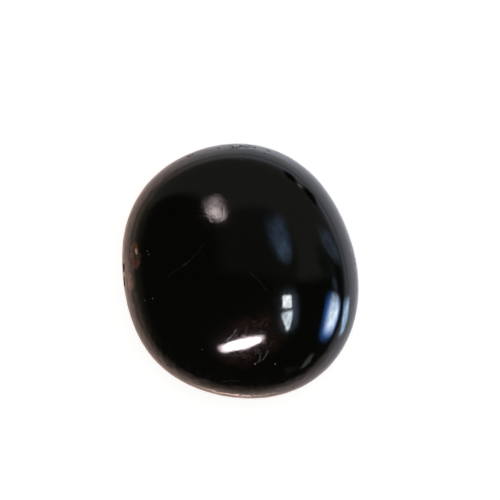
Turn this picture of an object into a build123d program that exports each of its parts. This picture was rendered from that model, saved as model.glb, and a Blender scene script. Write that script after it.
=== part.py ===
"""Basalt massage stone: a tumbled and polished pebble of black basalt, with two coloured
mineral grains showing in its side.

Frame: +Z up and +Y along the stone's length, with the origin under the middle of the stone,
level with the worn flat that it rests on. Lengths are in millimetres and angles in degrees.
Azimuths turn anticlockwise from +X, seen from above.
"""

import os
from math import cos, radians, sin, sqrt

from build123d import *

# Driving dimensions of the pebble. The girdle is the level at which it is widest. The belly
# would reach deeper than the girdle is high, so the resting flat cuts it short.
MEAN_RADIUS = 31.5
GIRDLE_HEIGHT = 12.6
DOME_RISE = 14.4
BELLY_DEPTH = 13.6

# The outline's own centre, which puts the origin under the middle of the stone, and how far
# to one side of that centre the crown lies.
CENTRE_X = 0.31
CENTRE_Y = 0.07
CROWN_SHIFT_X = 7.0
CROWN_SHIFT_Y = 3.8

# The plan outline is a circle with soft lobes: (how many, swell as a share of the radius,
# azimuth of one swelling). They make it oval, then egg-shaped, then slightly squared.
LOBES = (
    (2, 0.051, 90),
    (3, 0.010, 67),
    (4, 0.011, 31),
    (5, 0.005, 57),
)
OUTLINE_POINTS = 24

# Degrees of latitude between lofted sections of the dome and of the belly.
DOME_STEP = 10
BELLY_STEP = 15

# Each grain's outline on the surface is drawn about its own middle: first along the side, in
# the direction of growing azimuth, and then up towards the crown.
RED_GRAIN_AZIMUTH = 153.4
RED_GRAIN_HEIGHT = 18.5
RED_GRAIN_DEPTH = 1.6
RED_GRAIN_OUTLINE = (
    (-3.6, 0.3),
    (-2.1, -1.3),
    (-0.2, -2.1),
    (1.5, -1.7),
    (3.3, 0.5),
    (2.3, 1.9),
    (0.4, 2.2),
    (-1.8, 1.5),
)
TAN_GRAIN_AZIMUTH = 165.0
TAN_GRAIN_HEIGHT = 17.0
TAN_GRAIN_DEPTH = 1.2
TAN_GRAIN_OUTLINE = (
    (-2.5, 0.2),
    (-1.0, -1.2),
    (1.2, -1.3),
    (2.9, -0.3),
    (2.1, 0.9),
    (-0.6, 1.2),
)
GRAIN_FLOOR_SHARE = 0.75  # size of a pocket's floor, as a share of the grain's outline
GRAIN_MOUTH_SHARE = 1.15  # and of the blank where it stands clear of the surface
GRAIN_CLEAR = 1.0


def outline_radius(azimuth):
    """Plan radius of the girdle in the direction of azimuth."""
    swell = sum(size * cos(radians(count * (azimuth - peak))) for count, size, peak in LOBES)
    return MEAN_RADIUS * (1 + swell)


def level_share(height):
    """Size of the section at this height, as a share of the girdle."""
    above = height - GIRDLE_HEIGHT
    reach = DOME_RISE if above > 0 else BELLY_DEPTH
    return sqrt(1 - (above / reach) ** 2)


def surface_point(azimuth, height):
    """The point of the pebble's surface in this direction at this height."""
    reach = level_share(height) * outline_radius(azimuth)
    drift = (max(height - GIRDLE_HEIGHT, 0) / DOME_RISE) ** 2
    return Vector(
        CENTRE_X + CROWN_SHIFT_X * drift + reach * cos(radians(azimuth)),
        CENTRE_Y + CROWN_SHIFT_Y * drift + reach * sin(radians(azimuth)),
        height,
    )


def surface_plane(azimuth, height):
    """The plane that touches the surface at this place, with X level and Z pointing out."""
    here = surface_point(azimuth, height)
    around = surface_point(azimuth + 1, height) - surface_point(azimuth - 1, height)
    upward = surface_point(azimuth, height + 0.5) - surface_point(azimuth, height - 0.5)
    return Plane(origin=here, x_dir=around, z_dir=around.cross(upward))


def grain_blank(outline, azimuth, height, depth):
    """A grain's tapered plug, from the floor of its pocket to just clear of the surface."""
    seat = surface_plane(azimuth, height)
    with BuildPart() as blank:
        for lift, share in ((-depth, GRAIN_FLOOR_SHARE), (GRAIN_CLEAR, GRAIN_MOUTH_SHARE)):
            with BuildSketch(seat.offset(lift)):
                with BuildLine():
                    Spline(*[(share * x, share * y) for x, y in outline], periodic=True)
                make_face()
        loft()
    return blank.part


def level_heights():
    """Heights of the lofted sections, closer together where the surface turns over."""
    belly = [GIRDLE_HEIGHT * (1 - sin(radians(a))) for a in range(90, 0, -BELLY_STEP)]
    dome = [GIRDLE_HEIGHT + DOME_RISE * sin(radians(a)) for a in range(0, 90, DOME_STEP)]
    return belly + dome


# The whole pebble: level sections lofted from the resting flat to a point at the crown.
with BuildPart() as pebble:
    for level in level_heights():
        with BuildSketch(Plane.XY.offset(level)):
            with BuildLine():
                ring = [surface_point(360 / OUTLINE_POINTS * k, level) for k in range(OUTLINE_POINTS)]
                Spline(*[(point.X, point.Y) for point in ring], periodic=True)
            make_face()
    top = GIRDLE_HEIGHT + DOME_RISE
    crown = Vertex(CENTRE_X + CROWN_SHIFT_X, CENTRE_Y + CROWN_SHIFT_Y, top)
    loft(sections=[*pebble.pending_faces, crown])

red_blank = grain_blank(RED_GRAIN_OUTLINE, RED_GRAIN_AZIMUTH, RED_GRAIN_HEIGHT, RED_GRAIN_DEPTH)
tan_blank = grain_blank(TAN_GRAIN_OUTLINE, TAN_GRAIN_AZIMUTH, TAN_GRAIN_HEIGHT, TAN_GRAIN_DEPTH)

os.makedirs("parts", exist_ok=True)

# The basalt itself, with a pocket for each grain.
with BuildPart() as stone_body:
    add(pebble.part)
    add(red_blank, mode=Mode.SUBTRACT)
    add(tan_blank, mode=Mode.SUBTRACT)
stone_body.part.label = "stone_body"
export_step(stone_body.part, "parts/stone_body.step")

# The rust-red grain, polished off flush with the stone's side.
with BuildPart() as red_grain:
    add(pebble.part)
    add(red_blank, mode=Mode.INTERSECT)
red_grain.part.label = "red_grain"
export_step(red_grain.part, "parts/red_grain.step")

# The smaller tan grain, a little farther round the side and lower, flush as well.
with BuildPart() as tan_grain:
    add(pebble.part)
    add(tan_blank, mode=Mode.INTERSECT)
tan_grain.part.label = "tan_grain"
export_step(tan_grain.part, "parts/tan_grain.step")
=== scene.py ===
"""Looks of a polished basalt massage stone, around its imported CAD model.

The stone and its two mineral grains are fine meshes on the CAD model's own shape, with the
waviness, chips, scratches and grain seams of a polished pebble in their geometry. Their shapes
and the zones of the materials are given in millimetres, and the lights and camera in metres.
Angles are in degrees unless a comment says radians, and azimuths turn anticlockwise from +X,
seen from above.
"""

from math import radians

import bmesh
import bpy
import numpy as np
from mathutils import Matrix, Vector


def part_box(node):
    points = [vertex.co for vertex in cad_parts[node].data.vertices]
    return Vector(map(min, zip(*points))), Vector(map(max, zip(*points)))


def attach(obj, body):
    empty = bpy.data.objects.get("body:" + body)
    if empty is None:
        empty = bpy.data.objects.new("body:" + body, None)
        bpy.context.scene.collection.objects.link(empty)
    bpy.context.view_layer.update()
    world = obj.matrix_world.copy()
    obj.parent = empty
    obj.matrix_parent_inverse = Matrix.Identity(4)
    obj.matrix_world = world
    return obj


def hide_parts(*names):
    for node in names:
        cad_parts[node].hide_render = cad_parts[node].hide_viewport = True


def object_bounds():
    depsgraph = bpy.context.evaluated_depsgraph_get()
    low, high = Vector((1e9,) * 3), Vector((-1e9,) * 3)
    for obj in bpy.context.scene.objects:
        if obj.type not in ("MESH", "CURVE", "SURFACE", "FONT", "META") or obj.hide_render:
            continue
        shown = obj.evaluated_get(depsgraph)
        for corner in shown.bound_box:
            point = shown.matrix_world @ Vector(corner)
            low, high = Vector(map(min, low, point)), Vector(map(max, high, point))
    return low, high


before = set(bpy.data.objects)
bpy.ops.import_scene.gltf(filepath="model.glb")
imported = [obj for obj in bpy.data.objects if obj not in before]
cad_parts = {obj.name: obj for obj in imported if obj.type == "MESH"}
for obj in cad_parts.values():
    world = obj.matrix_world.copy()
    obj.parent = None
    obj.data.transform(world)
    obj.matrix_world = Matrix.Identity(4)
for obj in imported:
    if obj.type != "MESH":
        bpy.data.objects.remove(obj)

MM = 0.001
cad_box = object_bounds()

# The pebble's driving dimensions, as in the CAD model.
MEAN_RADIUS = 31.5
GIRDLE_HEIGHT = 12.6
DOME_RISE = 14.4
BELLY_DEPTH = 13.6
CENTRE = np.array((0.31, 0.07))
CROWN_SHIFT = np.array((7.0, 3.8))
LOBES = (
    (2, 0.051, 90),
    (3, 0.010, 67),
    (4, 0.011, 31),
    (5, 0.005, 57),
)
FLAT_ROUNDING = 0.25  # softens the resting flat's edge

# The two grains, as in the CAD model: azimuth and height of the middle, and the outline
# about it, first along the side and then up towards the crown.
GRAINS = {
    "red_grain": (
        153.4,
        18.5,
        (
            (-3.6, 0.3),
            (-2.1, -1.3),
            (-0.2, -2.1),
            (1.5, -1.7),
            (3.3, 0.5),
            (2.3, 1.9),
            (0.4, 2.2),
            (-1.8, 1.5),
        ),
    ),
    "tan_grain": (
        165.0,
        17.0,
        (
            (-2.5, 0.2),
            (-1.0, -1.2),
            (1.2, -1.3),
            (2.9, -0.3),
            (2.1, 0.9),
            (-0.6, 1.2),
        ),
    ),
}


# ---------------------------------------------------------------- the pebble's surface


def unit(vectors):
    """These vectors, each brought to length 1."""
    return vectors / np.linalg.norm(vectors, axis=1, keepdims=True)


def outline_radius(azimuth):
    """Plan radius of the girdle in these directions, in radians."""
    swell = 1.0
    for count, size, peak in LOBES:
        swell = swell + size * np.cos(count * (azimuth - radians(peak)))
    return MEAN_RADIUS * swell


def pebble_points(directions):
    """Points of the smooth pebble for unit vectors, which give longitude and latitude."""
    azimuth = np.arctan2(directions[:, 1], directions[:, 0])
    rise = np.clip(directions[:, 2], -1, 1)
    reach = np.sqrt(1 - rise**2) * outline_radius(azimuth)
    drift = np.where(rise > 0, rise, 0) ** 2
    raw = GIRDLE_HEIGHT + np.where(rise > 0, DOME_RISE, BELLY_DEPTH) * rise
    height = (raw + np.sqrt(raw**2 + FLAT_ROUNDING**2)) / 2
    return np.stack(
        (
            CENTRE[0] + CROWN_SHIFT[0] * drift + reach * np.cos(azimuth),
            CENTRE[1] + CROWN_SHIFT[1] * drift + reach * np.sin(azimuth),
            height,
        ),
        axis=1,
    )


def tangents(directions):
    """Two unit vectors across each direction, at right angles to it and to each other."""
    helper = np.where(np.abs(directions[:, 2:3]) < 0.9, (0.0, 0.0, 1.0), (1.0, 0.0, 0.0))
    first = unit(np.cross(helper, directions))
    return first, np.cross(directions, first)


def normals(surface, directions, step=1e-3):
    """Outward unit normals of a surface function, measured across this step in radians."""
    first, second = tangents(directions)

    def shifted(across):
        return surface(unit(directions + across))

    along = shifted(step * first) - shifted(-step * first)
    up = shifted(step * second) - shifted(-step * second)
    return unit(np.cross(along, up))


def direction_at(azimuth, height):
    """The unit vector whose surface point has this height, and this azimuth about the middle
    of its own level, which drifts towards the crown on the dome."""
    above = height - GIRDLE_HEIGHT
    rise = above / (DOME_RISE if above > 0 else BELLY_DEPTH)
    reach = np.sqrt(1 - rise**2)
    turn = radians(azimuth)
    return np.array((reach * np.cos(turn), reach * np.sin(turn), rise))


def seat(azimuth, height):
    """Middle, level axis, upward axis and normal of the plane that touches this place."""
    there = direction_at(azimuth, height)[None]
    middle = pebble_points(there)[0]
    normal = normals(pebble_points, there)[0]
    level = np.cross((0.0, 0.0, 1.0), normal)
    level /= np.linalg.norm(level)
    return middle, level, np.cross(normal, level), normal


def closed_curve(points, angles):
    """Radius of a smooth closed outline about its middle, at these angles in radians."""
    turns = np.arctan2([y for _, y in points], [x for x, _ in points])
    radii = np.hypot([x for x, _ in points], [y for _, y in points])
    order = np.argsort(turns)
    turns, radii = turns[order], radii[order]
    around = np.concatenate((turns - 2 * np.pi, turns, turns + 2 * np.pi))
    sizes = np.tile(radii, 3)
    slopes = np.gradient(sizes, around)
    place = np.clip(np.searchsorted(around, angles) - 1, 0, len(around) - 2)
    span = around[place + 1] - around[place]
    t = (angles - around[place]) / span
    return (
        sizes[place] * (2 * t**3 - 3 * t**2 + 1)
        + slopes[place] * span * (t**3 - 2 * t**2 + t)
        + sizes[place + 1] * (3 * t**2 - 2 * t**3)
        + slopes[place + 1] * span * (t**3 - t**2)
    )


def smoothstep(low, high, value):
    """0 at low, 1 at high and smooth between them, whichever is the larger."""
    t = np.clip((value - low) / (high - low), 0, 1)
    return t * t * (3 - 2 * t)


# ---------------------------------------------------------------- relief of the surface

rng = np.random.default_rng(11)


def waves(count, shortest, longest):
    """Random plane waves: wave vectors in radians per millimetre, and phases."""
    ways = unit(rng.normal(size=(count, 3)))
    length = np.exp(rng.uniform(np.log(shortest), np.log(longest), count))
    return ways * (2 * np.pi / length)[:, None], rng.uniform(0, 2 * np.pi, count)


def sum_of_waves(points, bank):
    """The waves added up at each point, scaled so that a typical value is 1."""
    vectors, phases = bank
    return np.cos(points @ vectors.T + phases).sum(axis=1) / np.sqrt(len(phases) / 2)


# The broad swells and ripples of the polish fade out near the resting flat. The lumps belong
# to the less smoothly polished sides: they begin below one height and are full at the other.
SWELLS = waves(16, 14.0, 40.0)
SWELL_HEIGHT = 0.02
RIPPLES = waves(24, 4.0, 10.0)
RIPPLE_HEIGHT = 0.002
FOOT_FADE = 1.5
LUMPS = waves(40, 1.6, 4.0)
LUMP_HEIGHT = 0.011
LUMPS_BEGIN = 21.0
LUMPS_FULL = 16.0

# Single chips: azimuth, height, radius, depth, and how pale the broken rock is in them. In the
# two at the end of a hairline scratch, that paleness is also a painted highlight.
CHIPS = (
    (156.5, 15.1, 0.55, 0.60, 0.0),
    (157.5, 15.0, 0.75, 0.95, 0.0),
    (159.0, 14.9, 0.65, 0.80, 0.0),
    (163.0, 14.7, 0.50, 0.50, 0.0),
    (164.0, 14.6, 0.55, 0.62, 0.0),
    (165.5, 14.5, 0.55, 0.62, 0.0),
    (166.5, 14.4, 0.45, 0.44, 0.0),
    (74.0, 17.6, 0.34, 0.16, 0.0),
    (70.5, 17.1, 0.30, 0.14, 0.0),
    (67.5, 17.6, 0.26, 0.12, 0.0),
    (59.5, 19.0, 0.32, 0.15, 0.0),
    (73.5, 21.4, 0.22, 0.10, 0.0),
    (92.5, 16.1, 0.34, 0.15, 0.0),
    (95.0, 16.2, 0.28, 0.12, 0.0),
    (248.0, 17.0, 0.32, 0.22, 0.0),
    (255.0, 17.3, 0.30, 0.20, 0.0),
    (274.5, 16.2, 0.28, 0.20, 0.0),
    (152.0, 20.8, 0.18, 0.05, 0.35),
    (154.0, 21.0, 0.18, 0.05, 0.45),
    (179.5, 20.7, 0.20, 0.06, 0.50),
    (178.5, 19.5, 0.20, 0.06, 0.25),
    (222.0, 21.8, 0.15, 0.05, 0.15),
    (265.5, 21.5, 0.18, 0.06, 0.25),
    (22.5, 22.0, 0.18, 0.05, 0.25),
    (18.0, 21.9, 0.18, 0.05, 0.25),
    # Real pits at the end of a hairline scratch, made pale as a painted highlight where it
    # glints.
    (236.5, 24.3, 0.20, 0.05, 0.60),
    (236.0, 24.15, 0.16, 0.04, 0.50),
    (254.0, 21.7, 0.24, 0.05, 0.22),
)
# Patches of small chips: azimuth and height of the middle, half length, half width, how many.
CHIP_PATCHES = (
    (72.0, 17.1, 5.5, 1.3, 26),
    (62.0, 17.4, 6.0, 1.0, 10),
    (93.0, 16.2, 2.5, 0.7, 4),
    (256.0, 16.0, 6.0, 0.8, 9),
    (345.0, 16.0, 7.0, 1.6, 8),
    (206.0, 16.5, 8.0, 1.6, 6),
)
# The least and the greatest radius of those chips, and depth as a share of the radius.
SCATTERED_RADIUS = (0.14, 0.34)
SCATTERED_DEPTH = (0.4, 0.8)
PROBE_COUNT = 60000  # points spread over the pebble, for the scattered chips to sit on

# Scratches: azimuth and height along each, half width, depth and paleness.
SCRATCHES = (
    (
        ((171.3, 22.8), (168.2, 23.9), (165.2, 24.6), (157.0, 25.3), (149.0, 25.6)),
        0.09,
        0.003,
        0.032,
    ),
    (((166.6, 24.3), (165.2, 24.6), (164.0, 24.75)), 0.12, 0.006, 0.14),
    (((226.0, 26.73), (244.5, 26.65), (262.0, 26.3)), 0.11, 0.003, 0.028),
    (((233.6, 23.5), (235.2, 23.9), (236.5, 24.3)), 0.08, 0.002, 0.03),
    (((239.6, 18.6), (243.5, 19.1), (248.1, 19.2)), 0.12, 0.012, 0.05),
    (((254.1, 21.6), (256.5, 22.1), (256.2, 22.8)), 0.20, 0.006, 0.02),
    (((257.9, 22.0), (260.0, 22.5), (261.1, 22.9)), 0.20, 0.006, 0.02),
)


def scatter(patch):
    """Chips spread at random over one patch, as middles, radii, depths and paleness."""
    azimuth, height, half_length, half_width, count = patch
    middle, level, upward, _ = seat(azimuth, height)
    found = []
    for _ in range(count):
        along = rng.normal() * half_length / 2
        across = rng.normal() * half_width / 2
        radius = rng.uniform(*SCATTERED_RADIUS)
        depth = radius * rng.uniform(*SCATTERED_DEPTH)
        found.append((middle + along * level + across * upward, radius, depth, 0.0))
    return found


def onto_surface(middle, points):
    """The nearest of these surface points to a middle that may hang off the curved surface."""
    return points[np.argmin(((points - middle) ** 2).sum(axis=1))]


chips = [(seat(azimuth, height)[0], *rest) for azimuth, height, *rest in CHIPS]
probes = pebble_points(unit(rng.normal(size=(PROBE_COUNT, 3))))
for patch in CHIP_PATCHES:
    chips += [(onto_surface(middle, probes), *rest) for middle, *rest in scatter(patch)]


def scratch_path(places, step=0.25):
    """Points on the pebble along a scratch through these places."""
    corners = np.array([direction_at(*place) for place in places])
    pieces = []
    for start, end in zip(corners, corners[1:]):
        count = max(2, int(MEAN_RADIUS * np.linalg.norm(end - start) / step))
        share = np.linspace(0, 1, count, endpoint=False)[:, None]
        pieces.append(start * (1 - share) + end * share)
    line = np.concatenate((*pieces, corners[-1:]))
    return pebble_points(unit(line))


scratches = [(scratch_path(places), *rest) for places, *rest in SCRATCHES]


WELL_AWAY = 9.0  # stands for any distance that is too far to matter
SCRATCH_ZONE = 15.0  # points farther than this from a scratch's middle are well away


def distance_to(path, points):
    """Distance from each point to the nearest stretch of a path."""
    nearest = np.full(len(points), WELL_AWAY)
    close = np.flatnonzero(((points - path.mean(axis=0)) ** 2).sum(axis=1) < SCRATCH_ZONE**2)
    for start, end in zip(path, path[1:]):
        along = end - start
        offset = points[close] - start
        share = np.clip(offset @ along / (along @ along), 0, 1)
        apart = np.linalg.norm(offset - share[:, None] * along, axis=1)
        nearest[close] = np.minimum(nearest[close], apart)
    return nearest


grain_seats = {name: seat(azimuth, height) for name, (azimuth, height, _) in GRAINS.items()}
GRAIN_EDGE_WAVES = waves(12, 0.8, 2.5)
GRAIN_EDGE_WANDER = 0.10
GRAIN_WAVES = waves(20, 0.5, 2.0)

# A grain's outline is only looked for this far out from its middle, along its face and off it.
GRAIN_ZONE_RADIUS = 6.0
GRAIN_ZONE_DEPTH = 3.0

# The pocket for each grain is a basin, with this width of slope from its edge to its floor.
POCKET_DEPTH = 0.5
POCKET_SLOPE = 0.5


def inside_grain(name, points):
    """How far inside a grain's outline each point lies, and minus WELL_AWAY out of its zone."""
    middle, level, upward, normal = grain_seats[name]
    offset = points - middle
    x, y = offset @ level, offset @ upward
    near = (np.abs(offset @ normal) < GRAIN_ZONE_DEPTH) & (np.hypot(x, y) < GRAIN_ZONE_RADIUS)
    reach = closed_curve(GRAINS[name][2], np.arctan2(y, x))
    reach += GRAIN_EDGE_WANDER * sum_of_waves(points, GRAIN_EDGE_WAVES)
    return np.where(near, reach - np.hypot(x, y), -WELL_AWAY)


def relief(points):
    """Height of the basalt's real surface over the smooth pebble."""
    height = SWELL_HEIGHT * sum_of_waves(points, SWELLS)
    height += RIPPLE_HEIGHT * sum_of_waves(points, RIPPLES)
    height *= smoothstep(0.0, FOOT_FADE, points[:, 2])
    lumpiness = smoothstep(LUMPS_BEGIN, LUMPS_FULL, points[:, 2])
    height += LUMP_HEIGHT * sum_of_waves(points, LUMPS) * lumpiness
    dent = np.zeros(len(points))
    for middle, radius, depth, _ in chips:
        apart = np.sqrt(((points - middle) ** 2).sum(axis=1)) / radius
        dent = np.maximum(dent, depth * np.where(apart < 1, (1 - apart**2) ** 2, 0))
    height -= dent
    for path, half_width, depth, _ in scratches:
        height -= depth * np.exp(-((distance_to(path, points) / half_width) ** 2))
    for name in GRAINS:
        height -= POCKET_DEPTH * smoothstep(0.0, POCKET_SLOPE, inside_grain(name, points))
    return height


# Broken rock begins at one share of a chip's radius and is full at the other.
BREAK_BEGINS = 1.05
BREAK_FULL = 0.55
SCRATCH_BREAK = 0.3  # how broken the rock is along a scratch


def marks(points):
    """How broken the surface is at each point, from 0 to 1, and how pale it is there."""
    broken, pale = np.zeros(len(points)), np.zeros(len(points))
    for middle, radius, _, paleness in chips:
        apart = np.sqrt(((points - middle) ** 2).sum(axis=1)) / radius
        here = smoothstep(BREAK_BEGINS, BREAK_FULL, apart)
        broken = np.maximum(broken, here)
        pale = np.maximum(pale, here * paleness)
    for path, half_width, _, paleness in scratches:
        here = np.exp(-((distance_to(path, points) / half_width) ** 2))
        broken = np.maximum(broken, SCRATCH_BREAK * here)
        pale = np.maximum(pale, here * paleness)
    return broken, pale


def basalt_points(directions):
    """The basalt's real surface, with its relief."""
    smooth = pebble_points(directions)
    return smooth + relief(smooth)[:, None] * normals(pebble_points, directions)


# ---------------------------------------------------------------- meshes


def cube_sphere(count):
    """Unit vectors and quads of a cube blown up to a sphere, with count quads along an edge."""
    ticks = np.tan(np.linspace(-np.pi / 4, np.pi / 4, count + 1))
    a, b = (grid.ravel() for grid in np.meshgrid(ticks, ticks, indexing="ij"))
    one = np.ones_like(a)
    sides = (
        (one, a, b),
        (-one, b, a),
        (b, one, a),
        (a, -one, b),
        (a, b, one),
        (b, a, -one),
    )
    vertices = unit(np.concatenate([np.stack(side, axis=1) for side in sides]))
    row = np.arange(count)
    corner = (row[:, None] * (count + 1) + row[None]).ravel()
    quad = np.stack((corner, corner + count + 1, corner + count + 2, corner + 1), axis=1)
    quads = np.concatenate([quad + side * (count + 1) ** 2 for side in range(6)])
    _, first, again = np.unique(vertices.round(7), axis=0, return_index=True, return_inverse=True)
    return vertices[first], again.ravel()[quads]


def refined(vertices, faces, wanted, rounds):
    """Splits faces near the wanted places, that many times over, and keeps to the sphere."""
    bm = bmesh.new()
    for vertex in vertices:
        bm.verts.new(vertex)
    bm.verts.ensure_lookup_table()
    for face in faces:
        bm.faces.new([bm.verts[i] for i in face])
    for turn in range(rounds):
        bm.verts.ensure_lookup_table()
        bm.verts.index_update()
        at = unit(np.array([v.co for v in bm.verts]))
        close = wanted(pebble_points(at), turn)
        edges = [e for e in bm.edges if close[e.verts[0].index] and close[e.verts[1].index]]
        bmesh.ops.subdivide_edges(bm, edges=edges, cuts=1, use_grid_fill=True)
    bm.verts.index_update()
    at = unit(np.array([v.co for v in bm.verts]))
    polygons = [[v.index for v in face.verts] for face in bm.faces]
    bm.free()
    return at, polygons


def make_piece(name, points, polygons, outward=None):
    """A smooth-shaded mesh piece on the root body, with these normals if any are given."""
    mesh = bpy.data.meshes.new(name)
    mesh.from_pydata((points * MM).tolist(), [], polygons)
    mesh.validate()
    mesh.shade_smooth()
    if outward is not None:
        mesh.normals_split_custom_set_from_vertices(outward.tolist())
    piece = bpy.data.objects.new(name, mesh)
    bpy.context.scene.collection.objects.link(piece)
    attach(piece, "root")
    return piece


def paint(piece, name, values):
    """Stores one number per vertex, for the materials to read."""
    attribute = piece.data.attributes.new(name, "FLOAT", "POINT")
    attribute.data.foreach_set("value", np.asarray(values, dtype=np.float32))


CUBE_COUNT = 84
REFINE_ROUNDS = 2
REFINE_REACH = 0.6
SEAM_WIDTH = 0.6  # how far in from a grain's edge the finer mesh goes
FINE_STEP = 2e-4  # across which the stone's normals are measured, in radians


def needs_detail(points, turn):
    """Which points are near a chip, a scratch or a grain's edge, closer in with each turn."""
    reach = REFINE_REACH / (turn + 1)
    near = np.zeros(len(points), dtype=bool)
    for middle, radius, *_ in chips:
        near |= ((points - middle) ** 2).sum(axis=1) < (radius + reach) ** 2
    for path, half_width, *_ in scratches:
        near |= distance_to(path, points) < half_width + reach
    for name in GRAINS:
        inside = inside_grain(name, points)
        near |= (inside > -reach) & (inside < SEAM_WIDTH + reach)
    return near


directions, polygons = refined(*cube_sphere(CUBE_COUNT), needs_detail, REFINE_ROUNDS)
points = basalt_points(directions)
low, high = (np.array(corner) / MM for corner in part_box("stone_body"))
made_low, made_high = points.min(axis=0), points.max(axis=0)
fit = (high - low) / (made_high - made_low)


def fitted(points):
    """These points, moved so that the stone as made fills the CAD stone's box exactly."""
    return low + (points - made_low) * fit


outward = normals(basalt_points, directions, FINE_STEP)
stone = make_piece("basalt_stone", fitted(points), polygons, outward)
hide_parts("stone_body")
for name, values in zip(("broken", "pale"), marks(pebble_points(directions))):
    paint(stone, name, values)


RISE_LIMIT = 0.999  # azimuths lose their meaning any nearer to the crown


def as_direction(points):
    """The unit vectors of dome points near the surface, by their height and azimuth."""
    rise = np.clip((points[:, 2] - GIRDLE_HEIGHT) / DOME_RISE, -RISE_LIMIT, RISE_LIMIT)
    drift = np.where(rise > 0, rise, 0) ** 2
    x = points[:, 0] - CENTRE[0] - CROWN_SHIFT[0] * drift
    y = points[:, 1] - CENTRE[1] - CROWN_SHIFT[1] * drift
    reach = np.sqrt(1 - rise**2)
    plan = np.hypot(x, y)
    return np.stack((x / plan * reach, y / plan * reach, rise), axis=1)


def height_over(points):
    """Roughly how far each point lies outside the pebble, along the surface's normal."""
    directions = as_direction(points)
    surface = pebble_points(directions)
    return ((points - surface) * normals(pebble_points, directions)).sum(axis=1)


def normal_at(points):
    """The pebble's outward unit normals at points of the dome near its surface."""
    return normals(pebble_points, as_direction(points))


# A grain is a net of rings about its middle. Its rim runs under the basalt's edge, dropping
# across the seam between these distances inside the outline.
GRAIN_RINGS = 26
GRAIN_TURNS = 96
GRAIN_TUCK = 0.40
GRAIN_SETTLINGS = 6  # times each point is moved nearer to the pebble's surface
GRAIN_LIFT = 0.01
GRAIN_RIM_DROP = 0.16
GRAIN_DROP_BEGINS = 0.10
GRAIN_DROP_ENDS = -0.18
GRAIN_THICKNESS = 1.1 * POCKET_DEPTH


def grain_net():
    """Polygons of a closed lens: a face and a back, each of rings round one middle vertex."""
    count = 1 + GRAIN_RINGS * GRAIN_TURNS
    polygons = []
    for k in range(GRAIN_TURNS):
        after = (k + 1) % GRAIN_TURNS
        polygons.append((0, 1 + k, 1 + after))
        polygons.append((count, count + 1 + after, count + 1 + k))
        for ring in range(GRAIN_RINGS - 1):
            a, b = 1 + ring * GRAIN_TURNS + k, 1 + ring * GRAIN_TURNS + after
            c, d = b + GRAIN_TURNS, a + GRAIN_TURNS
            polygons.append((a, d, c, b))
            polygons.append((count + a, count + b, count + c, count + d))
        last = 1 + (GRAIN_RINGS - 1) * GRAIN_TURNS
        polygons.append((last + k, count + last + k, count + last + after, last + after))
    return polygons


def grain_piece(name, piece_name, bumps):
    """A grain as a closed lens: its face flush with the stone, its rim tucked under the seam."""
    middle, level, upward, normal = grain_seats[name]
    turns = np.linspace(-np.pi, np.pi, GRAIN_TURNS, endpoint=False)
    edge = closed_curve(GRAINS[name][2], turns)
    flat = [(0.0, 0.0)]
    for share in np.linspace(0, 1, GRAIN_RINGS + 1)[1:]:
        reach = share * (edge + GRAIN_TUCK)
        flat += list(zip(reach * np.cos(turns), reach * np.sin(turns)))
    flat = np.array(flat)
    found = middle + flat[:, :1] * level + flat[:, 1:] * upward
    for _ in range(GRAIN_SETTLINGS):
        found = found + height_over(found)[:, None] * -normal
    outward = normal_at(found)
    inside = inside_grain(name, found)
    lift = GRAIN_LIFT - GRAIN_RIM_DROP * smoothstep(GRAIN_DROP_BEGINS, GRAIN_DROP_ENDS, inside)
    lift = lift + bumps * sum_of_waves(found, GRAIN_WAVES)
    face = found + lift[:, None] * outward
    back = found - GRAIN_THICKNESS * outward
    piece = make_piece(piece_name, fitted(np.concatenate((face, back))), grain_net())
    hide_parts(name)
    paint(piece, "inside", np.concatenate((inside, inside)))
    return piece


RED_BUMPS = 0.012
TAN_BUMPS = 0.010
red = grain_piece("red_grain", "red_mineral_grain", RED_BUMPS)
tan = grain_piece("tan_grain", "tan_mineral_grain", TAN_BUMPS)


# ---------------------------------------------------------------- materials


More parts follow.
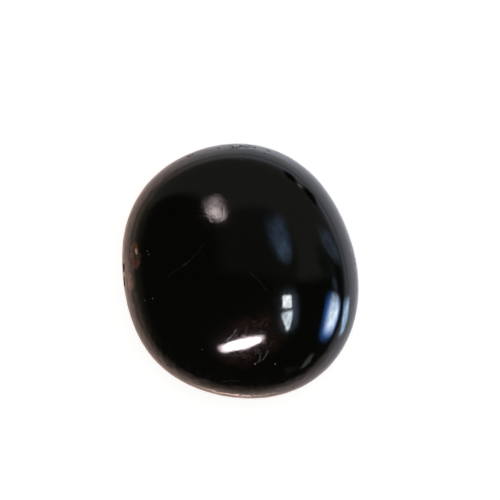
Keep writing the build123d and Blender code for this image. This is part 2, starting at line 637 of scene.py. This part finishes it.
class Nodes:
    """Short calls for building one node tree."""

    def __init__(self, tree, output="ShaderNodeOutputMaterial", place="Object"):
        self.tree = tree
        tree.nodes.clear()
        self.output = tree.nodes.new(output)
        self.place = tree.nodes.new("ShaderNodeTexCoord").outputs[place]

    def add(self, kind, inputs=(), **settings):
        node = self.tree.nodes.new(kind)
        for key, value in settings.items():
            setattr(node, key, value)
        for key, value in dict(inputs).items():
            if isinstance(value, bpy.types.NodeSocket):
                self.tree.links.new(value, node.inputs[key])
            else:
                node.inputs[key].default_value = value
        return node

    def noise(self, size, detail=4.0, roughness=0.55, distortion=0.0):
        """Noise whose features are about this many millimetres across, from 0 to 1."""
        inputs = {
            "Vector": self.place,
            "Scale": 1 / (size * MM),
            "Detail": detail,
            "Roughness": roughness,
            "Distortion": distortion,
        }
        return self.add("ShaderNodeTexNoise", inputs).outputs["Fac"]

    def cells(self, size):
        """Cells about this many millimetres across."""
        inputs = {"Vector": self.place, "Scale": 1 / (size * MM)}
        return self.add("ShaderNodeTexVoronoi", inputs, feature="F1")

    def ramp(self, value, low, high, from_value=0.0, to_value=1.0):
        """A smooth step from one value at low to the other at high, whichever is larger."""
        inputs = {"Value": value, 1: low, 2: high, 3: from_value, 4: to_value}
        node = self.add("ShaderNodeMapRange", inputs, interpolation_type="SMOOTHSTEP")
        return node.outputs[0]

    def math(self, operation, *values):
        return self.add("ShaderNodeMath", dict(enumerate(values)), operation=operation).outputs[0]

    def times(self, *values):
        product = values[0]
        for value in values[1:]:
            product = self.math("MULTIPLY", product, value)
        return product

    def vector(self, operation, first, second=(0.0, 0.0, 0.0), output=0):
        inputs = {0: first, 1: second}
        return self.add("ShaderNodeVectorMath", inputs, operation=operation).outputs[output]

    def facing(self, vector, azimuth, elevation):
        """How nearly a unit vector points this way: 1 exactly, 0 across, -1 away."""
        return self.vector("DOT_PRODUCT", vector, heading(azimuth, elevation), "Value")

    def scaled(self, colour, factor):
        inputs = {0: colour, "Scale": factor}
        return self.add("ShaderNodeVectorMath", inputs, operation="SCALE").outputs[0]

    def mix(self, factor, first, second):
        node = self.add("ShaderNodeMix", {0: factor, 6: first, 7: second}, data_type="RGBA")
        return node.outputs[2]

    def attribute(self, name):
        return self.add("ShaderNodeAttribute", attribute_name=name).outputs["Fac"]

    def bump(self, height, strength, distance, normal=None):
        inputs = {"Height": height, "Strength": strength, "Distance": distance * MM}
        if normal is not None:
            inputs["Normal"] = normal
        return self.add("ShaderNodeBump", inputs).outputs["Normal"]

    def near(self, middle, radii, turn=0.0):
        """1 at a place in millimetres, falling to 0 at these distances from it along x, y and
        z, or along axes turned from them about z."""
        inputs = {
            "Vector": self.place,
            "Location": [m * MM for m in middle],
            "Rotation": (0.0, 0.0, radians(turn)),
            "Scale": [r * MM for r in radii],
        }
        moved = self.add("ShaderNodeMapping", inputs, vector_type="TEXTURE").outputs[0]
        return self.ramp(self.vector("LENGTH", moved, output="Value"), 0.0, 1.0, 1.0, 0.0)

    def emit(self, colour, strength=1.0):
        return self.add("ShaderNodeEmission", {"Color": colour, "Strength": strength}).outputs[0]

    def blend(self, factor, first, second):
        return self.add("ShaderNodeMixShader", {0: factor, 1: first, 2: second}).outputs[0]

    def ray(self, kind):
        return self.add("ShaderNodeLightPath").outputs[kind]

    def show(self, shader):
        self.tree.links.new(shader, self.output.inputs["Surface"])

    def principled(self, **inputs):
        named = {key.replace("_", " "): value for key, value in inputs.items()}
        self.show(self.add("ShaderNodeBsdfPrincipled", named).outputs[0])


def new_material(name):
    """A material and the short calls for its nodes."""
    material = bpy.data.materials.new(name)
    material.use_nodes = True
    return material, Nodes(material.node_tree)


def rgb(red, green, blue):
    """A colour in linear light, with its alpha."""
    return (red, green, blue, 1.0)


def heading(azimuth, elevation):
    """The unit vector that points this way."""
    turn, lift = radians(azimuth), radians(elevation)
    return Vector((np.cos(turn) * np.cos(lift), np.sin(turn) * np.cos(lift), np.sin(lift)))


# Colours of the basalt, its stains and its breaks.
BASALT_DARK = rgb(0.0018, 0.0018, 0.0013)
BASALT_LIGHT = rgb(0.0040, 0.0038, 0.0031)
CRYSTAL = rgb(0.040, 0.037, 0.035)
RUST = rgb(0.046, 0.020, 0.014)
TAN_HALO = rgb(0.200, 0.118, 0.086)
DUST = rgb(0.075, 0.065, 0.055)
BROKEN_ROCK = rgb(0.020, 0.015, 0.012)
# Pale broken rock, and also the painted highlight in two chips at a hairline scratch's end.
PALE_BREAK_AND_HIGHLIGHT = rgb(0.50, 0.47, 0.44)

# Zones of the basalt: middle, reach along three axes, and how far those turn about z.
STAIN_ZONE = ((-2.5, -16.4, 23.4), (14.0, 9.0, 9.0), 15)
HALO_ZONE = (seat(161, 16.4)[0], (3.5, 6.5, 4.0), 161)
WRINKLED_ZONE = ((-0.6, 16.4, 25.6), (9.0, 9.0, 9.0))

# The dustier, duller sides begin below one height and are full at the other.
SIDES_BEGIN = 21.5 * MM
SIDES_FULL = 15.0 * MM
CRYSTAL_SIZE = 0.35
CRYSTAL_THRESHOLD = 0.95  # only the few cells whose random shade passes this show a crystal
DUST_COVER = 0.30


def basalt():
    """Near-black polished rock, stained, dusty on its sides and broken where it is painted so."""
    material, n = new_material("polished_basalt")
    base = n.mix(n.noise(3.0, 6.0), BASALT_DARK, BASALT_LIGHT)
    crystals = n.cells(CRYSTAL_SIZE)
    speck = n.ramp(crystals.outputs["Distance"], 0.16, 0.06)
    rare = n.math("GREATER_THAN", crystals.outputs["Color"], CRYSTAL_THRESHOLD)
    base = n.mix(n.times(speck, rare), base, CRYSTAL)

    # A rust-stained zone on the dome, towards -Y, and a paler stain around the tan grain.
    blotch = n.ramp(n.noise(2.0, 8.0, 0.66, 0.3), 0.40, 0.66)
    stained = n.times(n.ramp(n.near(*STAIN_ZONE), 0.0, 0.7), blotch)
    base = n.mix(stained, base, RUST)
    halo = n.times(n.near(*HALO_ZONE), n.ramp(n.noise(1.6, 5.0), 0.15, 0.6))
    base = n.mix(halo, base, TAN_HALO)

    # The sides keep a dusty mottle that the polish hasn't reached.
    height = n.add("ShaderNodeSeparateXYZ", {0: n.place}).outputs[2]
    side = n.ramp(height, SIDES_BEGIN, SIDES_FULL)
    dust = n.ramp(n.noise(1.1, 5.0, 0.60), 0.35, 0.75)
    base = n.mix(n.times(side, dust, DUST_COVER), base, DUST)

    broken = n.attribute("broken")
    pale = n.times(n.attribute("pale"), n.ramp(n.noise(1.5, 3.0), 0.35, 0.60, 0.35, 1.0))
    base = n.mix(broken, base, BROKEN_ROCK)
    # Pale breaks, among them a painted highlight at the end of a hairline scratch.
    base = n.mix(pale, base, PALE_BREAK_AND_HIGHLIGHT)

    # The polish is uneven, a little duller on the sides and the stain, and dullest on the breaks.
    smudge = n.noise(7.0, 4.0, 0.55, 1.5)
    roughness = n.ramp(smudge, 0.35, 0.75, 0.035, 0.060)
    roughness = n.math("ADD", roughness, n.times(side, n.ramp(n.noise(1.2, 4.0), 0.4, 0.7), 0.10))
    roughness = n.math("ADD", roughness, n.times(stained, 0.03))
    roughness = n.math("MAXIMUM", roughness, n.times(broken, 0.8))

    # Relief too fine for the mesh: grit, orange peel, and wrinkles where a lamp is mirrored.
    grit = n.bump(n.noise(0.25, 3.0), 0.05, 0.01)
    orange_peel = n.bump(n.noise(1.4, 2.0), 0.30, 0.010, grit)
    wrinkled = n.times(n.near(*WRINKLED_ZONE), n.noise(1.5, 3.0, 0.5, 1.2))
    wrinkles = n.bump(wrinkled, 0.55, 0.04, orange_peel)
    pitted = n.bump(n.times(side, n.noise(0.6, 5.0, 0.65)), 0.45, 0.06, wrinkles)
    n.principled(
        Base_Color=base,
        Roughness=roughness,
        IOR=1.55,
        Normal=pitted,
        Coat_Weight=0.10,
        Coat_Roughness=0.14,
        Coat_IOR=1.5,
    )
    return material


def on_grain(name, along, upward):
    """A place on a grain's face, this far from its middle along the side and up it."""
    middle, level, up, _ = grain_seats[name]
    return middle + along * level + upward * up


# Colours of the two grains.
RED_BRIGHT = rgb(0.115, 0.040, 0.026)
RED_DULL = rgb(0.060, 0.030, 0.026)
RED_BORDER = rgb(0.030, 0.009, 0.006)
# Pale colour of the highlight painted on the red grain.
PAINTED_HIGHLIGHT = rgb(0.52, 0.38, 0.28)
NEARLY_BLACK = rgb(0.012, 0.007, 0.005)
TAN_BRIGHT = rgb(0.330, 0.180, 0.135)
TAN_DULL = rgb(0.250, 0.132, 0.098)
TAN_BORDER = rgb(0.070, 0.040, 0.030)
MINERAL_IOR = 1.54

# Zones of the red grain: how far along the side and up from its middle, radius and colour.
# The nearly black ones stand in for its pointed tip and trim it on the crown's side.
RED_ZONES = (
    (-2.5, 0.3, 1.9, rgb(0.150, 0.032, 0.012)),
    (-0.5, 0.1, 1.3, rgb(0.070, 0.054, 0.020)),
    (-0.2, -1.3, 1.3, rgb(0.150, 0.060, 0.048)),
    (-3.0, -1.25, 1.1, NEARLY_BLACK),
    (-2.9, 1.75, 1.1, NEARLY_BLACK),
    (0.9, 2.4, 0.9, NEARLY_BLACK),
    (2.3, 1.0, 1.2, rgb(0.160, 0.046, 0.036)),
)
# A painted highlight on it, a pale spot: its middle, reach along three axes, and how far those
# turn about z.
PAINTED_HIGHLIGHT_ZONE = (on_grain("red_grain", -1.2, 0.75), (1.25, 0.50, 2.0), 263)


def red_mineral():
    """Rust-red grain in patches of other reds, with a painted highlight and a dark border."""
    material, n = new_material("red_mineral")
    patches = n.noise(1.1, 6.0, 0.62, 0.8)
    base = n.mix(n.ramp(patches, 0.38, 0.60), RED_BRIGHT, RED_DULL)
    mottle = n.math("MULTIPLY_ADD", n.noise(0.8, 5.0, 0.65), 1.4, -0.7)
    for along, upward, radius, colour in RED_ZONES:
        zone = n.near(on_grain("red_grain", along, upward), (radius, radius, radius))
        base = n.mix(n.ramp(n.math("ADD", zone, mottle), 0.15, 0.70), base, colour)
    # A pale spot painted on the grain as a highlight.
    painted_highlight = n.ramp(n.near(*PAINTED_HIGHLIGHT_ZONE), 0.20, 0.45)
    base = n.mix(painted_highlight, base, PAINTED_HIGHLIGHT)
    border = n.ramp(n.attribute("inside"), 0.45, 0.05)
    base = n.mix(n.times(border, 0.8), base, RED_BORDER)
    normal = n.bump(n.noise(0.35, 4.0), 0.35, 0.03)
    roughness = n.ramp(patches, 0.3, 0.7, 0.07, 0.16)
    n.principled(Base_Color=base, Roughness=roughness, IOR=MINERAL_IOR, Normal=normal)
    return material


def tan_mineral():
    """Paler grain that darkens into the rock around it."""
    material, n = new_material("tan_mineral")
    patches = n.noise(1.3, 5.0, 0.6, 0.6)
    base = n.mix(n.ramp(patches, 0.35, 0.65), TAN_BRIGHT, TAN_DULL)
    border = n.ramp(n.attribute("inside"), 0.90, -0.20)
    base = n.mix(border, base, TAN_BORDER)
    normal = n.bump(n.noise(0.35, 4.0), 0.3, 0.03)
    roughness = n.ramp(patches, 0.3, 0.7, 0.14, 0.26)
    n.principled(Base_Color=base, Roughness=roughness, IOR=MINERAL_IOR, Normal=normal)
    return material


for piece, material in ((stone, basalt()), (red, red_mineral()), (tan, tan_mineral())):
    piece.data.materials.append(material)


# ---------------------------------------------------------------- floor, light and camera


def rectangle(name, half_width, half_height):
    """A flat stage piece about the origin, in metres, facing up."""
    mesh = bpy.data.meshes.new(name)
    signs = ((-1, -1), (1, -1), (1, 1), (-1, 1))
    corners = [(x * half_width, y * half_height, 0.0) for x, y in signs]
    mesh.from_pydata(corners, [], [(0, 1, 2, 3)])
    piece = bpy.data.objects.new(name, mesh)
    bpy.context.scene.collection.objects.link(piece)
    return piece


# The room's light is warm on one side and cool on the other, on the floor and above it.
WARM_AZIMUTH = 190
WARM = rgb(1.28, 0.94, 0.81)
COOL = rgb(0.965, 0.985, 1.09)


def warmness(n, direction):
    """How much a direction belongs to the warm side, from 0 to 1."""
    return n.ramp(n.facing(direction, WARM_AZIMUTH, 0), -0.65, 0.6)


FLOOR_COLOUR = rgb(0.85, 0.85, 0.85)
FLOOR_GLOW_COLOUR = rgb(1.0, 0.997, 0.993)
FLOOR_GLOW = 0.80

# As mirrored, the floor fades from one distance and strength to the other, where it is dimmer
# on the warm side. It has two gleams: middle and reach in millimetres, turn and strength.
POOL_NEAR = 35.0 * MM
POOL_FAR = 300.0 * MM
MIRRORED_FLOOR = 1.02
FAR_FLOOR_COOL = 0.58
FAR_FLOOR_WARM = 0.36
GLEAMS = (
    ((-25.0, -54.0, 0.0), (10.0, 28.0, 9.0), -117, 4.5),
    ((28.0, 49.0, 0.0), (16.0, 42.0, 9.0), 60, 0.6),
)


def pale_floor():
    """Plain and pale. In the polish it shows as a table in a pool of light, with two gleams."""
    material, n = new_material("pale_floor")
    shader = n.add("ShaderNodeBsdfDiffuse", {"Color": FLOOR_COLOUR}).outputs[0]
    glow = n.emit(FLOOR_GLOW_COLOUR, FLOOR_GLOW)
    seen = n.add("ShaderNodeAddShader", {0: shader, 1: glow}).outputs[0]
    warm = warmness(n, n.vector("NORMALIZE", n.place))
    distance = n.vector("LENGTH", n.place, output="Value")
    far_floor = n.ramp(warm, 0.0, 1.0, FAR_FLOOR_COOL, FAR_FLOOR_WARM)
    power = n.ramp(distance, POOL_NEAR, POOL_FAR, MIRRORED_FLOOR, far_floor)
    for middle, radii, turn, strength in GLEAMS:
        power = n.math("ADD", power, n.times(n.near(middle, radii, turn), strength))
    mirrored = n.emit(n.mix(warm, COOL, WARM), power)
    n.show(n.blend(n.ray("Is Glossy Ray"), seen, mirrored))
    return material


FLOOR_HALF = 2.0
floor = rectangle("floor", FLOOR_HALF, FLOOR_HALF)
floor.data.materials.append(pale_floor())

STONE_MIDDLE = Vector((0.0, 0.0, 0.5 * (cad_box[1].z + cad_box[0].z)))

# Distances of the cards from the middle of the stone. The nearer of two that overlap shows.
CLOSE_BY = 0.08
NEARER = 1.98
FAR = 2.0
FARTHER = 2.02

# Across each card the light varies between these shares of its strength, in patches as wide as
# this share of the card's half breadth.
CARD_DIMMEST = 0.55
CARD_BRIGHTEST = 1.30
CARD_PATCHES = 0.7


def card(
    name,
    azimuth,
    elevation,
    length,
    breadth,
    roll,
    taper,
    colour,
    strength,
    feather,
    fullness,
    distance,
):
    """A flat and slightly uneven studio light that shows only in reflections. Length and
    breadth are degrees as seen from the stone, roll turns it anticlockwise, taper thins its
    far end, feather is the soft share of its edges, and fullness is 2 for an oval and more
    for a squarer shape."""
    half_l = np.tan(radians(length) / 2) * distance
    half_b = np.tan(radians(breadth) / 2) * distance
    piece = rectangle(name, half_l, half_b * (1 + abs(taper)))
    outward = heading(azimuth, elevation)
    level = Vector((0, 0, 1)).cross(outward).normalized()
    right = Matrix.Rotation(radians(roll), 3, outward) @ level
    basis = Matrix((right, outward.cross(right), outward)).transposed().to_4x4()
    piece.matrix_world = Matrix.Translation(STONE_MIDDLE + outward * distance) @ basis
    material, n = new_material(name)
    shares = n.vector("DIVIDE", n.place, (half_l, half_b, 1.0))
    split = n.add("ShaderNodeSeparateXYZ", {0: shares}).outputs
    half_there = n.math("SUBTRACT", 1.0, n.times(split[0], taper))
    along = n.math("ABSOLUTE", split[0])
    across = n.math("ABSOLUTE", n.math("DIVIDE", split[1], half_there))
    powers = [n.math("POWER", share, fullness) for share in (along, across)]
    reach = n.math("POWER", n.math("ADD", *powers), 1 / fullness)
    mask = n.ramp(reach, 1.0, 1.0 - feather)
    clear = n.add("ShaderNodeBsdfTransparent").outputs[0]
    cloud = n.noise(CARD_PATCHES * half_b / MM, 4.0, 0.6, 0.8)
    uneven = n.ramp(cloud, 0.3, 0.7, CARD_DIMMEST, CARD_BRIGHTEST)
    n.show(n.blend(mask, clear, n.emit(rgb(*colour), n.times(uneven, strength))))
    piece.data.materials.append(material)
    piece.visible_camera = False
    piece.visible_diffuse = False
    piece.visible_shadow = False
    piece.visible_transmission = False


# Each row is one card: name, azimuth, elevation, length, breadth, roll, taper, colour,
# strength, feather, fullness and distance. The corner, patch and shelf cards with hardly any
# strength are there to darken what lies behind them.
CARDS = (
    ("soft_lamp", 113, 61, 22, 14, 70, 0.1, (1.0, 0.80, 0.81), 4.4, 0.8, 2.8, FAR),
    ("soft_lamp_heart", 118, 64, 14, 9, 100, -0.1, (1.0, 0.85, 0.84), 11.0, 0.9, 2.3, NEARER),
    ("blue_wall", 13, 76, 30, 20, 155, 0.15, (0.42, 0.64, 1.0), 0.90, 0.9, 2.2, FAR),
    ("blue_wall_heart", -15, 77, 15, 13, 180, 0.2, (0.44, 0.68, 1.0), 1.4, 0.9, 2.2, NEARER),
    ("dark_corner", -18, 36, 34, 20, 80, 0.0, (0.8, 1.0, 0.8), 0.08, 0.6, 3, FARTHER),
    ("blue_corner", -7, 21, 36, 20, 80, 0.0, (0.53, 0.75, 1.0), 0.66, 0.7, 3, FAR),
    ("small_blue", -28, 27, 12, 8, 75, 0.0, (0.50, 0.72, 1.0), 0.5, 0.6, 3, FAR),
    ("window_glow", -79, 61, 23, 14, -115, 0.0, (0.50, 0.70, 1.0), 1.3, 0.8, 3, FAR),
    ("window_upper", -78, 66, 6, 6, -120, 0.0, (0.90, 0.96, 1.0), 19.0, 0.2, 8, NEARER),
    ("window_lower", -85, 58, 10, 5, -105, 0.8, (0.82, 0.92, 1.0), 14.0, 0.3, 5, NEARER),
    ("big_window_edge", -48, 25, 30, 30, 10, -0.15, (0.09, 0.32, 1.0), 7.0, 0.6, 3, FAR),
    ("big_window", -46, 24, 27, 23, 5, 0.0, (0.70, 0.84, 1.0), 18.0, 0.75, 3, NEARER),
    ("bounce", -41, 1, 24, 15, -165, 0.3, (0.50, 0.72, 1.0), 9.5, 0.6, 4, CLOSE_BY),
    ("tube", -119, 51, 20, 6, 30, 0.2, (1.0, 0.84, 0.90), 38.0, 0.45, 3.0, FAR),
    ("green_patch", -77, 20, 15, 9, 40, 0.0, (0.82, 0.95, 0.82), 0.75, 0.6, 3, FAR),
    ("grey_patch", -90, 24, 15, 9, -50, 0.0, (0.9, 1.0, 0.85), 0.10, 0.7, 2.5, FAR),
    ("shelf_left", 38, 10, 13, 18, 20, 0.0, (1.0, 1.0, 1.0), 0.01, 0.5, 3, FAR),
    ("shelf_right", 20, 8, 16, 20, 15, 0.0, (1.0, 1.0, 1.0), 0.01, 0.5, 3, FAR),
    ("far_lamp", 29, 12, 6, 5, 20, 0.0, (0.95, 1.0, 1.0), 1.6, 0.6, 2, NEARER),
)
for settings in CARDS:
    card(*settings)

# The wide softbox overhead lights the floor and the stone's body colour, but isn't mirrored.
SOFTBOX_WIDTH = 1.6
SOFTBOX_POWER = 5.0
SOFTBOX_PLACE = (0.1, 0.1, 1.2)
softbox = bpy.data.lights.new("softbox", "AREA")
softbox.shape = "DISK"
softbox.size = SOFTBOX_WIDTH
softbox.energy = SOFTBOX_POWER
softbox_object = bpy.data.objects.new("softbox", softbox)
softbox_object.location = SOFTBOX_PLACE
softbox_object.visible_glossy = False
bpy.context.scene.collection.objects.link(softbox_object)


# Light of the room as mirrored. A way is the azimuth and elevation of a thing's middle.
HORIZON_COOL = 0.80
HORIZON_WARM = 0.42
CEILING_WAY = (62, 32)
CEILING_COLOUR = (1.0, 1.03, 0.90)
CEILING_LOW = 0.13  # its strength up to a steep angle, and then overhead
CEILING_OVERHEAD = 0.038
SHAPE_WAY = (159.5, 40)
WARM_HAZE_WAY = (160, 0)
WARM_HAZE = (1.15, 0.95, 0.70)
WARM_HAZE_POWER = 0.20
COOL_HAZE_WAY = (25, 0)
COOL_HAZE = (0.75, 0.90, 1.30)
COOL_HAZE_POWER = 0.14
DARKEST = (0.018, 0.019, 0.013)
BACKDROP = rgb(0.98, 0.98, 0.98)


def room(world):
    """A dark room with a glow along the horizon, a low haze in two directions, one warm and
    one cool, and a dim ceiling on the far side, where a darker round shape stands in front of
    it. The camera itself sees a plain pale backdrop instead."""
    world.use_nodes = True
    n = Nodes(world.node_tree, "ShaderNodeOutputWorld", "Generated")
    warm = warmness(n, n.place)
    rise = n.add("ShaderNodeSeparateXYZ", {0: n.place}).outputs[2]
    horizon_power = n.ramp(warm, 0.0, 1.0, HORIZON_COOL, HORIZON_WARM)
    glow = n.times(n.ramp(rise, 0.20, -0.08), horizon_power)
    horizon = n.scaled(n.mix(warm, COOL, WARM), glow)
    ceiling = n.ramp(n.facing(n.place, *CEILING_WAY), 0.32, 0.42)
    shape = n.ramp(n.facing(n.place, *SHAPE_WAY), 0.80, 0.88, 1.0, 0.0)
    overhead = n.ramp(rise, 0.90, 0.955, CEILING_LOW, CEILING_OVERHEAD)
    ceiling = n.scaled(CEILING_COLOUR, n.times(ceiling, shape, overhead))
    warm_side = n.ramp(n.facing(n.place, *WARM_HAZE_WAY), 0.70, 0.95)
    warm_haze = n.times(warm_side, n.ramp(rise, 0.45, 0.02), WARM_HAZE_POWER)
    horizon = n.vector("ADD", horizon, n.scaled(WARM_HAZE, warm_haze))
    cool_side = n.ramp(n.facing(n.place, *COOL_HAZE_WAY), 0.45, 0.85)
    cool_haze = n.times(cool_side, n.ramp(rise, 0.40, 0.0), COOL_HAZE_POWER)
    horizon = n.vector("ADD", horizon, n.scaled(COOL_HAZE, cool_haze))
    light = n.vector("ADD", n.vector("ADD", horizon, ceiling), DARKEST)
    mirrored = n.add("ShaderNodeBackground", {"Color": light}).outputs[0]
    seen = n.add("ShaderNodeBackground", {"Color": BACKDROP}).outputs[0]
    n.show(n.blend(n.ray("Is Camera Ray"), mirrored, seen))


world = bpy.data.worlds.new("studio")
bpy.context.scene.world = world
room(world)

# The camera looks straight down, turned so that the stone's length leans to the left, with
# the stone a little left of and below the middle of the picture.
CAMERA_DISTANCE = 0.36
PICTURE_WIDTH = 0.12735  # at the height of the girdle
SENSOR_WIDTH = 36.0  # in millimetres, as is the lens
ROLL = 20
STONE_LEFT = 0.00261
STONE_BELOW = 0.00570
camera_data = bpy.data.cameras.new("camera")
camera_data.sensor_width = SENSOR_WIDTH
camera_data.lens = SENSOR_WIDTH * CAMERA_DISTANCE / PICTURE_WIDTH
camera = bpy.data.objects.new("camera", camera_data)
bpy.context.scene.collection.objects.link(camera)
turn = Matrix.Rotation(radians(-ROLL), 4, "Z")
middle = Vector((CENTRE[0] * MM, CENTRE[1] * MM, GIRDLE_HEIGHT * MM))
aside = turn @ Vector((STONE_LEFT, STONE_BELOW, CAMERA_DISTANCE))
camera.matrix_world = Matrix.Translation(middle + aside) @ turn
bpy.context.scene.camera = camera

bpy.context.scene.view_settings.view_transform = "Standard"
